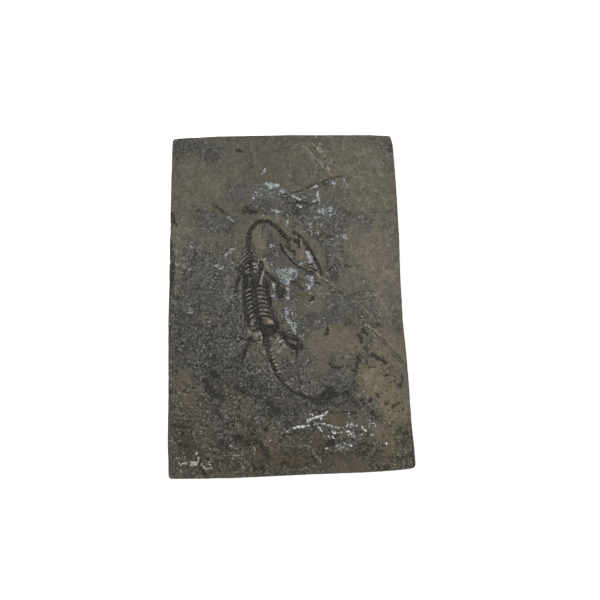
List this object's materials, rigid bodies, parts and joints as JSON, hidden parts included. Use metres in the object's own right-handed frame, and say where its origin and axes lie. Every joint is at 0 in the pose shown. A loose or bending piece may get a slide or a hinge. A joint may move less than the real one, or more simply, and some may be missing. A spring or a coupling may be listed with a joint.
{
  "type": "fossil marine reptile slab",
  "caption": "Slab of dark rock with the skeleton of a small long-necked marine reptile bedded in its face, for study or display lying on its flat back.",
  "frame": {"origin": "centre of the slab's bounding box at the flat back that it lies on", "axes": "+X to the slab's right and +Y to its top as seen facing the fossil, +Z out of the fossil's face"},
  "size_m": [0.1734, 0.2404, 0.0158],
  "materials": {
    "rock": "matte",
    "bone": "satin"
  },
  "bodies": {
    "root": {"slab": "rock", "skull": "bone", "neck": "bone", "rib_cage": "bone", "left_shoulder_blade": "bone", "right_shoulder_blade": "bone", "left_chest_bone": "bone", "right_chest_bone": "bone", "left_upper_arm": "bone", "right_upper_arm": "bone", "right_forearm": "bone", "pelvis": "bone", "left_thigh": "bone", "right_thigh": "bone", "right_shin": "bone", "tail": "bone"}
  },
  "joints": []
}
